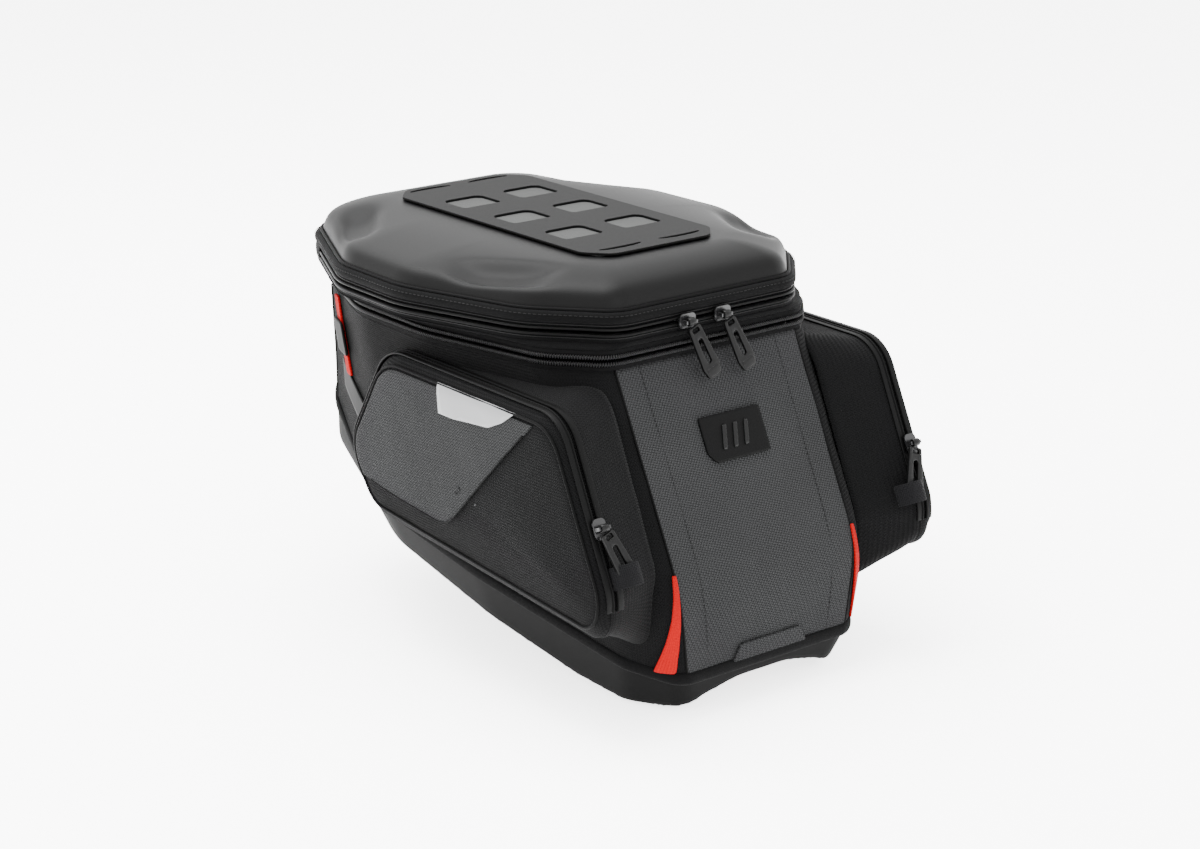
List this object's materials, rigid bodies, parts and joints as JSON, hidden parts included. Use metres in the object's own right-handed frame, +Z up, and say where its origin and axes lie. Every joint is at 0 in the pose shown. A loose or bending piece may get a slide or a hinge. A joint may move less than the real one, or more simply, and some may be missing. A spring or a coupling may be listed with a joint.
{
  "type": "motorcycle tank bag",
  "caption": "Motorcycle tank bag: expandable fabric body, hinged hard-shell lid with lash panel, two zipped side pockets and a quick-release tank ring.",
  "frame": {"origin": "centre of the tank ring's underside", "axes": "+X to the rider's right, +Y towards the front wheel, +Z up with the lid level; the ring's axis leans 12.5 degrees with the base"},
  "size_m": [0.2866, 0.3934, 0.2724],
  "materials": {
    "black_fabric": "coarse black nylon weave",
    "grey_weave": "dark grey coarse weave",
    "eva_shell": "thermoformed, smooth satin",
    "eva_base": "thermoformed, slightly glossy",
    "rubber_sheet": "matt cut sheet",
    "lash_inlay": "grey fabric",
    "lining": "light lining and net",
    "zipper_tape": "coil zipper on woven tape",
    "slider_metal": "black lacquer",
    "pull_rubber": "moulded, satin",
    "red_webbing": "red webbing",
    "black_webbing": "black webbing",
    "moulded_plastic": "glass-filled nylon",
    "steel": "zinc plated",
    "reflective": "silver reflective film"
  },
  "bodies": {
    "root": {"rider_panel": "grey_weave", "front_panel": "black_fabric", "side_panel_left": "black_fabric", "side_panel_right": "black_fabric", "strap_flap": "black_fabric", "base_pan": "eva_base", "base_binding": "black_fabric", "base_plate": "moulded_plastic", "tank_ring": "moulded_plastic", "ring_screws": "steel", "ring_washers": "steel", "ring_nuts": "steel", "ring_magnets": "steel", "expansion_zip_lower": "zipper_tape", "pocket_gusset_left": "black_fabric", "pocket_gusset_right": "black_fabric", "pocket_zip_inner_left": "zipper_tape", "pocket_zip_inner_right": "zipper_tape", "pocket_garage_left": "black_fabric", "pocket_garage_right": "black_fabric", "rear_loops": "red_webbing", "front_loops": "red_webbing", "side_strips": "rubber_sheet", "badge": "rubber_sheet", "handle_mounts": "moulded_plastic"},
    "ring_latch": {"ring_latch": "moulded_plastic", "release_strap": "red_webbing"},
    "collar": {"expansion_zip_upper": "zipper_tape", "expander_band": "black_fabric", "expansion_sleeve": "black_fabric", "main_zip_lower": "zipper_tape", "lid_hinge_tape": "black_fabric"},
    "lid": {"main_zip_upper": "zipper_tape", "lid_band": "black_fabric", "lid_shell": "eva_shell", "lid_piping": "rubber_sheet", "lid_liner": "lining", "lid_mesh_pocket": "lining", "lash_panel": "rubber_sheet", "lash_backing": "lash_inlay"},
    "main_slider_left": {"main_slider_left": "slider_metal"},
    "main_pull_left": {"main_pull_left": "pull_rubber"},
    "main_slider_right": {"main_slider_right": "slider_metal"},
    "main_pull_right": {"main_pull_right": "pull_rubber"},
    "expansion_slider": {"expansion_slider": "slider_metal"},
    "expansion_pull": {"expansion_pull": "pull_rubber"},
    "carry_handle": {"carry_handle": "black_webbing"},
    "pocket_flap_left": {"pocket_flap_left": "black_fabric", "pocket_zip_outer_left": "zipper_tape", "pocket_mesh_patch_left": "grey_weave", "pocket_reflector_left": "reflective"},
    "pocket_slider_left": {"pocket_slider_left": "slider_metal", "pocket_pull_left": "pull_rubber"},
    "pocket_flap_right": {"pocket_flap_right": "black_fabric", "pocket_zip_outer_right": "zipper_tape", "pocket_mesh_patch_right": "grey_weave", "pocket_reflector_right": "reflective"},
    "pocket_slider_right": {"pocket_slider_right": "slider_metal", "pocket_pull_right": "pull_rubber"}
  },
  "joints": [
    {"name": "expansion_slide", "type": "slide", "parent": "root", "child": "collar", "axis": [0, 0, 1], "range_m": [0, 0.05]},
    {"name": "lid_hinge", "type": "hinge", "parent": "collar", "child": "lid", "pos_m": [0, 0.2243, 0.2033], "axis": [-1, 0, 0], "range_deg": [0, 100]},
    {"name": "latch_slide", "type": "slide", "parent": "root", "child": "ring_latch", "axis": [0, 0.9763, 0.2164], "range_m": [0, 0.003]},
    {"name": "handle_swing", "type": "hinge", "parent": "root", "child": "carry_handle", "pos_m": [0, 0.2215, 0.16], "axis": [1, 0, 0], "range_deg": [0, 90]},
    {"name": "main_slider_left_travel", "type": "slide", "parent": "collar", "child": "main_slider_left", "axis": [-1, 0, 0], "range_m": [0, 0.03]},
    {"name": "main_slider_right_travel", "type": "slide", "parent": "collar", "child": "main_slider_right", "axis": [1, 0, 0], "range_m": [0, 0.04]},
    {"name": "main_pull_left_swing", "type": "hinge", "parent": "main_slider_left", "child": "main_pull_left", "pos_m": [-0.02, -0.09955, 0.197], "axis": [-1, 0, 0], "range_deg": [0, 150]},
    {"name": "main_pull_right_swing", "type": "hinge", "parent": "main_slider_right", "child": "main_pull_right", "pos_m": [0.009, -0.09955, 0.197], "axis": [-1, 0, 0], "range_deg": [0, 150]},
    {"name": "expansion_slider_travel", "type": "slide", "parent": "root", "child": "expansion_slider", "axis": [-1, 0, 0], "range_m": [0, 0.05]},
    {"name": "expansion_pull_swing", "type": "hinge", "parent": "expansion_slider", "child": "expansion_pull", "pos_m": [0.024, 0.22155, 0.1805], "axis": [1, 0, 0], "range_deg": [0, 110]},
    {"name": "pocket_flap_right_hinge", "type": "hinge", "parent": "root", "child": "pocket_flap_right", "pos_m": [0.13, -0.0385, 0.038], "axis": [0, 0.9966, 0.0827], "range_deg": [0, 30]},
    {"name": "pocket_slider_right_travel", "type": "slide", "parent": "root", "child": "pocket_slider_right", "axis": [0, 0.4219, 0.9066], "range_m": [0, 0.04]},
    {"name": "pocket_flap_left_hinge", "type": "hinge", "parent": "root", "child": "pocket_flap_left", "pos_m": [-0.13, -0.0385, 0.038], "axis": [0, -0.9966, -0.0827], "range_deg": [0, 30]},
    {"name": "pocket_slider_left_travel", "type": "slide", "parent": "root", "child": "pocket_slider_left", "axis": [0, 0.4219, 0.9066], "range_m": [0, 0.04]}
  ]
}
